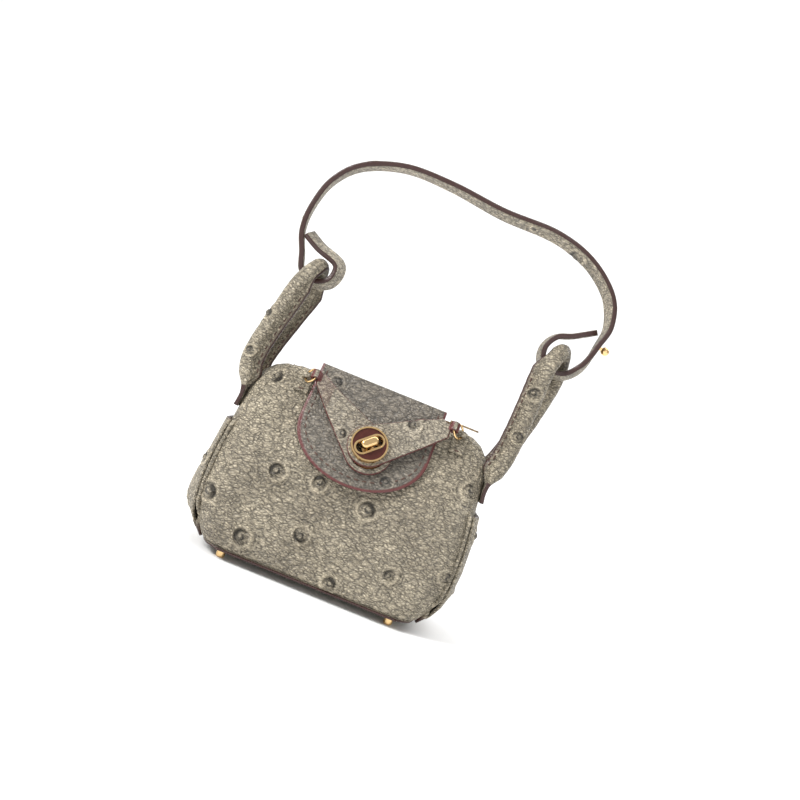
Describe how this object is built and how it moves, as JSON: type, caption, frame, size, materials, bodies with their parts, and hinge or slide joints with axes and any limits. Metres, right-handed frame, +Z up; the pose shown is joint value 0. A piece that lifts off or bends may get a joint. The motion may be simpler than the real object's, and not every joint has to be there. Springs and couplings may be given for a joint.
{
  "type": "miniature carry case",
  "caption": "Miniature leather handbag-shaped carry case: zipped body, half-moon flap with turn-lock, rolled side handles and a looped shoulder strap.",
  "frame": {"origin": "on the ground under the middle of the body, level with the undersides of the feet", "axes": "+Z up, -Y the front with the turn-lock, +X to the right as seen from the front"},
  "size_m": [0.1086, 0.0402, 0.1365],
  "materials": {
    "leather": "fine crease grain with scattered quill bumps, satin",
    "gold_metal": "polished warm gold plating",
    "edge_paint": "dark burgundy edge paint",
    "lining": "fine woven cloth",
    "zip_tape": "woven tape",
    "board": "matte stiffening board",
    "cord_core": "twisted cord"
  },
  "bodies": {
    "case": {"front_panel": "leather", "back_panel": "leather", "right_gusset": "leather", "left_gusset": "leather", "base_panel": "leather", "base_board": "board", "lining": "lining", "left_side_pocket": "leather", "right_side_pocket": "leather", "feet": "gold_metal", "foot_washers": "gold_metal", "front_zip_tape": "zip_tape", "back_zip_tape": "zip_tape", "front_zip_teeth": "gold_metal", "back_zip_teeth": "gold_metal", "zip_stops": "gold_metal", "flap_root": "leather", "left_ring_tab": "leather", "right_ring_tab": "leather", "lock_base": "gold_metal", "lock_washer": "gold_metal", "left_handle_tabs": "leather", "right_handle_tabs": "leather"},
    "toggle": {"lock_toggle": "gold_metal"},
    "right_arm": {"right_closing_strap": "leather", "right_slot_plate": "gold_metal", "plate_inset": "edge_paint", "right_ring": "gold_metal"},
    "left_arm": {"left_closing_strap": "leather", "left_slot_plate": "gold_metal", "left_ring": "gold_metal"},
    "flap_leaf": {"flap": "leather", "flap_eyelet": "gold_metal"},
    "slider": {"zip_slider": "gold_metal"},
    "pull": {"zip_pull": "gold_metal"},
    "left_grip": {"left_handle": "leather", "left_handle_core": "cord_core"},
    "right_grip": {"right_handle": "leather", "right_handle_core": "cord_core"},
    "strap": {"shoulder_strap": "leather", "strap_stud": "gold_metal"}
  },
  "joints": [
    {"name": "lock_turn", "type": "hinge", "parent": "case", "child": "toggle", "pos_m": [0.0022, -0.0134, 0.047], "axis": [0, -0.8944, 0.4472], "range_deg": [0, 90]},
    {"name": "right_strap_swing", "type": "hinge", "parent": "case", "child": "right_arm", "pos_m": [0.02793, -0.00763, 0.06212], "axis": [0, 0.4472, 0.8944], "range_deg": [0, 130]},
    {"name": "left_strap_swing", "type": "hinge", "parent": "case", "child": "left_arm", "pos_m": [-0.02433, -0.00813, 0.06112], "axis": [0, 0.4472, 0.8944], "range_deg": [-75, 0]},
    {"name": "flap_lift", "type": "hinge", "parent": "case", "child": "flap_leaf", "pos_m": [0, 0.0049, 0.0664], "axis": [-1, 0, 0], "range_deg": [0, 26]},
    {"name": "zip_slide", "type": "slide", "parent": "case", "child": "slider", "axis": [-1, 0, 0], "range_m": [0, 0.0458]},
    {"name": "pull_turn", "type": "hinge", "parent": "slider", "child": "pull", "pos_m": [0.024, 0, 0.0649], "axis": [0, -1, 0], "range_deg": [0, 100]},
    {"name": "handles_lean", "type": "hinge", "parent": "case", "child": "left_grip", "pos_m": [-0.0434, 0, 0.0535], "axis": [0, 1, 0], "range_deg": [-8, 8]},
    {"name": "right_handle_lean", "type": "hinge", "parent": "case", "child": "right_grip", "pos_m": [0.0434, 0, 0.0535], "axis": [0, 1, 0], "range_deg": [-10, 10]},
    {"name": "strap_level", "type": "hinge", "parent": "left_grip", "child": "strap", "pos_m": [-0.0341, 0, 0.0954], "axis": [0, 1, 0], "range_deg": [-12, 12]}
  ],
  "couplings": [
    {"joint": "left_strap_swing", "follows": "right_strap_swing", "ratio": -0.57},
    {"joint": "flap_lift", "follows": "right_strap_swing", "ratio": 0.2},
    {"joint": "right_handle_lean", "follows": "handles_lean", "ratio": 0.9},
    {"joint": "strap_level", "follows": "handles_lean", "ratio": -1}
  ]
}
